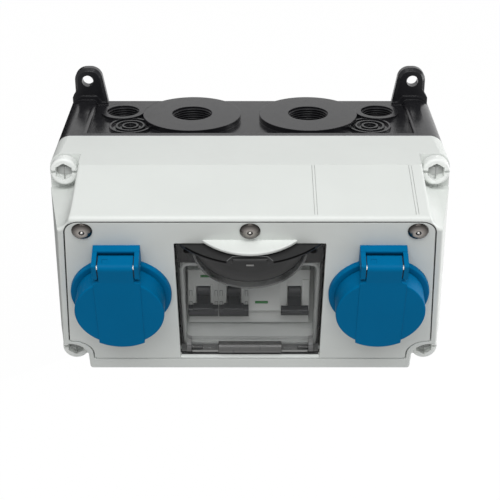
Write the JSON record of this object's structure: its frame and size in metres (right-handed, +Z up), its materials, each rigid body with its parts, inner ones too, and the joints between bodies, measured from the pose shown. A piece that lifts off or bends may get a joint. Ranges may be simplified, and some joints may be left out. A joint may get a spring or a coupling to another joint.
{
  "type": "wall-mounted socket distribution unit",
  "caption": "Wall-mounted power distribution unit: black back box, grey sloping hood, blue sprung-lid sockets either side of a smoked window over breakers on a rail.",
  "frame": {"origin": "centre of the four wall fixing holes, on the wall plane at the back of the housing", "axes": "+X to the right seen from the front, +Y into the wall, +Z up"},
  "size_m": [0.225, 0.1632, 0.1694],
  "materials": {
    "housing": "black moulded plastic, satin",
    "cover": "light grey moulded plastic, fine grain",
    "cover_screw": "mid grey moulded plastic",
    "panel": "grey moulded plastic, satin",
    "smoke": "smoked clear plastic",
    "grip": "black moulded plastic",
    "tray": "grey moulded plastic",
    "device": "pale grey moulded plastic",
    "toggle": "black moulded plastic",
    "button": "grey moulded plastic",
    "socket": "blue moulded plastic, satin",
    "insert": "pale grey moulded plastic",
    "rubber": "soft black rubber",
    "steel": "bright stainless steel",
    "zinc_steel": "zinc-plated steel",
    "brass": "machined brass"
  },
  "bodies": {
    "unit": {"rear_housing": "housing", "cover_seal": "rubber", "front_cover": "cover", "cover_screws": "cover_screw", "front_panel": "panel", "panel_seal": "rubber", "panel_screws": "steel", "window_hinge_pin": "grip", "window_hinge_ears": "tray", "device_tray": "tray", "toggle_pins": "steel", "device_rail": "zinc_steel", "rail_screws": "steel", "supply_terminals": "device", "breaker_1_body": "device", "breaker_2_body": "device", "residual_current_device_body": "device", "left_socket_body": "socket", "left_socket_insert": "insert", "left_socket_contacts": "brass", "left_earth_clips": "steel", "left_socket_ring": "cover", "left_lid_pin": "steel", "left_lid_spring": "steel", "right_socket_body": "socket", "right_socket_insert": "insert", "right_socket_contacts": "brass", "right_earth_clips": "steel", "right_socket_ring": "cover", "right_lid_pin": "steel", "right_lid_spring": "steel"},
    "window": {"window": "smoke", "window_grip": "grip"},
    "left_lid": {"left_lid": "socket", "left_lid_gasket": "rubber"},
    "right_lid": {"right_lid": "socket", "right_lid_gasket": "rubber"},
    "breaker_1_toggle": {"breaker_1_toggle": "toggle"},
    "breaker_2_toggle": {"breaker_2_toggle": "toggle"},
    "residual_current_device_toggle": {"residual_current_device_toggle": "toggle"},
    "test_button": {"test_button": "button"}
  },
  "joints": [
    {"name": "window_hinge", "type": "hinge", "parent": "unit", "child": "window", "pos_m": [0, -0.11607, -0.04896], "axis": [1, 0, 0], "range_deg": [0, 100]},
    {"name": "left_lid_hinge", "type": "hinge", "parent": "unit", "child": "left_lid", "pos_m": [-0.0712, -0.15729, 0.02459], "axis": [-1, 0, 0], "range_deg": [0, 100], "stiffness_Nm_per_rad": 0.012, "springref_deg": -34.38},
    {"name": "right_lid_hinge", "type": "hinge", "parent": "unit", "child": "right_lid", "pos_m": [0.0712, -0.15729, 0.02459], "axis": [-1, 0, 0], "range_deg": [0, 100], "stiffness_Nm_per_rad": 0.012, "springref_deg": -34.38},
    {"name": "breaker_1_toggle_hinge", "type": "hinge", "parent": "unit", "child": "breaker_1_toggle", "pos_m": [-0.02685, -0.1053, -0.017], "axis": [-1, 0, 0], "range_deg": [0, 58]},
    {"name": "breaker_2_toggle_hinge", "type": "hinge", "parent": "unit", "child": "breaker_2_toggle", "pos_m": [-0.00935, -0.1053, -0.017], "axis": [-1, 0, 0], "range_deg": [0, 58]},
    {"name": "residual_current_device_toggle_hinge", "type": "hinge", "parent": "unit", "child": "residual_current_device_toggle", "pos_m": [0.02565, -0.1053, -0.017], "axis": [-1, 0, 0], "range_deg": [0, 58]},
    {"name": "test_button_slide", "type": "slide", "parent": "unit", "child": "test_button", "axis": [0, 1, 0], "range_m": [0, 0.0012], "stiffness_N_per_m": 400, "springref_m": -0.001}
  ]
}
